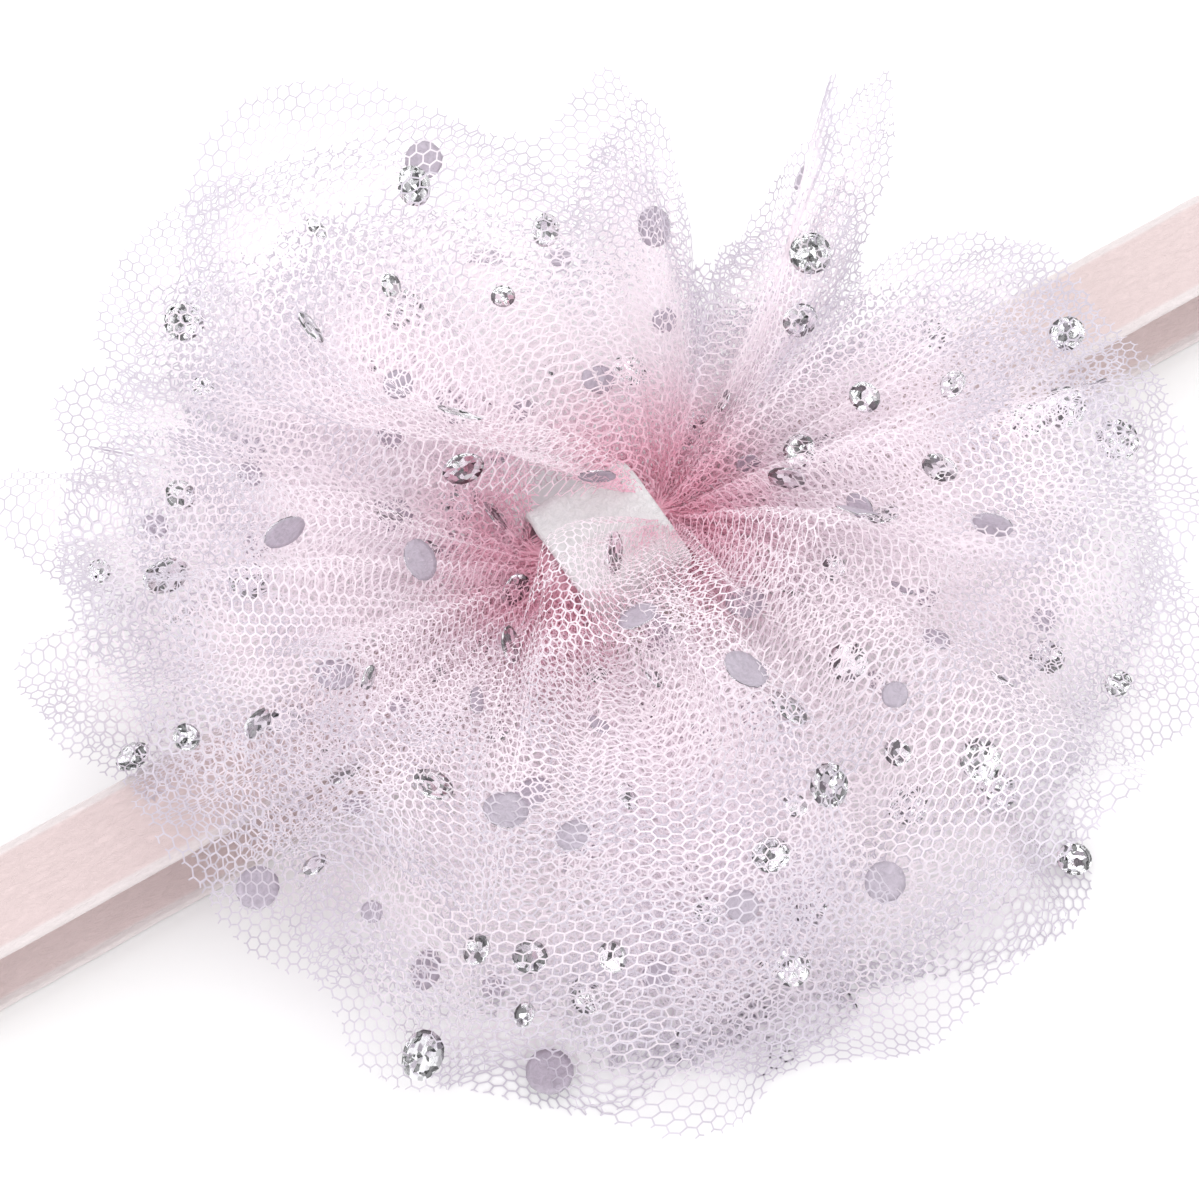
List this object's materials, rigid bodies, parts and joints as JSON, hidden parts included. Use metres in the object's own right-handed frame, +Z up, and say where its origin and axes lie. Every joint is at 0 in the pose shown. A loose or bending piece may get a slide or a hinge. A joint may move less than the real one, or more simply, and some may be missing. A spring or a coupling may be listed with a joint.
{
  "type": "baby headband",
  "caption": "Soft elastic baby headband lying as a flattened loop, with a puff of gathered dotted tulle tied to it by a felt wrap.",
  "frame": {"origin": "middle of the flat outer face of the band's back layer, which rests on the surface", "axes": "+X along the flattened band, +Y across the band, +Z up through the felt wrap and the puff"},
  "size_m": [0.1698, 0.1183, 0.058],
  "materials": {
    "band_nylon": "matt fine knit",
    "wrap_felt": "matt felt",
    "tulle_net": "sheer hexagonal net",
    "foil_dot": "crinkled silver foil"
  },
  "bodies": {
    "root": {"band": "band_nylon", "center_wrap": "wrap_felt", "tulle_sheet_1": "tulle_net", "tulle_sheet_2": "tulle_net", "tulle_sheet_3": "tulle_net", "tulle_sheet_4": "tulle_net", "tulle_sheet_5": "tulle_net"}
  },
  "joints": []
}
